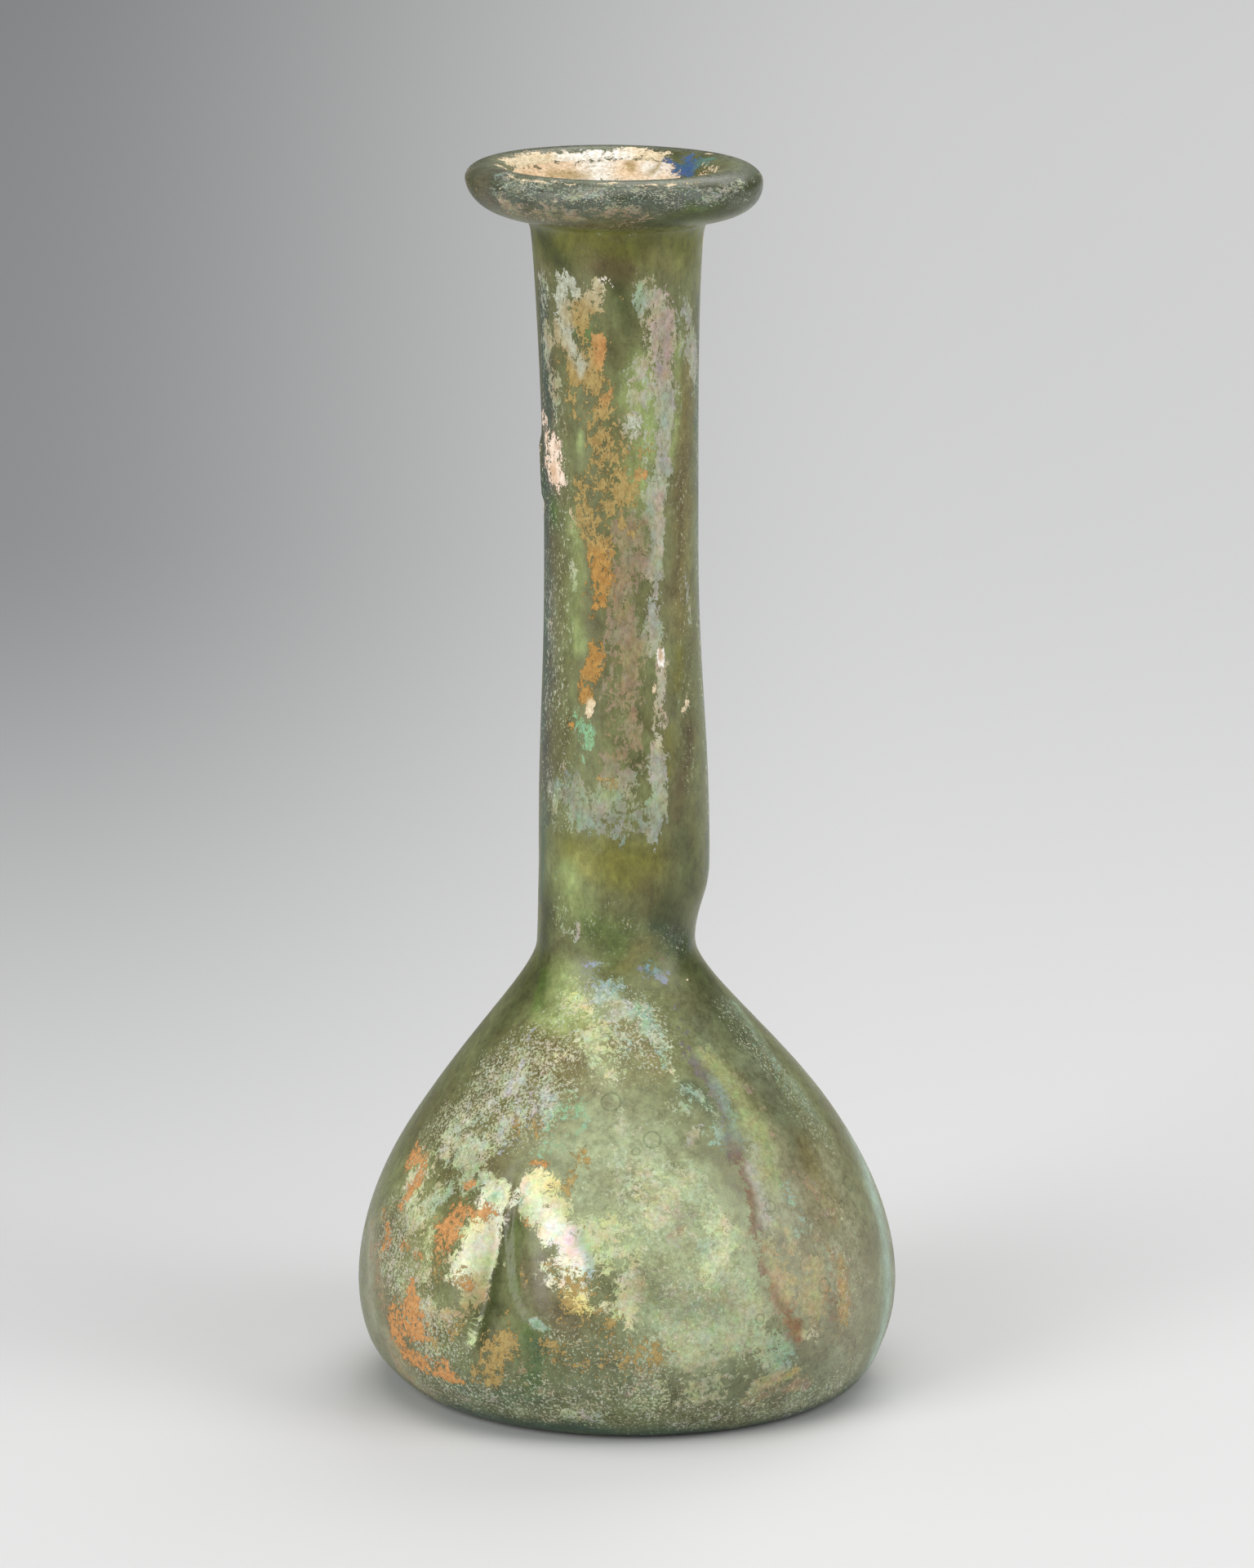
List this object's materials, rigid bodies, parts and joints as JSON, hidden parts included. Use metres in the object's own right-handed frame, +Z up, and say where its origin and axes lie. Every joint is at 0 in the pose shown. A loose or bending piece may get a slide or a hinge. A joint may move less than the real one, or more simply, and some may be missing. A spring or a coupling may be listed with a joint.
{
  "type": "glass unguentarium",
  "caption": "Small free-blown glass perfume bottle with a pear-shaped body, a tall narrow neck and a thick rolled rim, leaning slightly, one flank pushed in.",
  "frame": {"origin": "under the middle of the belly, at the level that the foot stands on", "axes": "+Z up along the bottle's height; the side that the picture shows faces -Y"},
  "size_m": [0.0574, 0.0574, 0.1301],
  "materials": {
    "weathered_glass": "satin, weathered and iridescent"
  },
  "bodies": {
    "root": {"glass_bottle": "weathered_glass"}
  },
  "joints": []
}
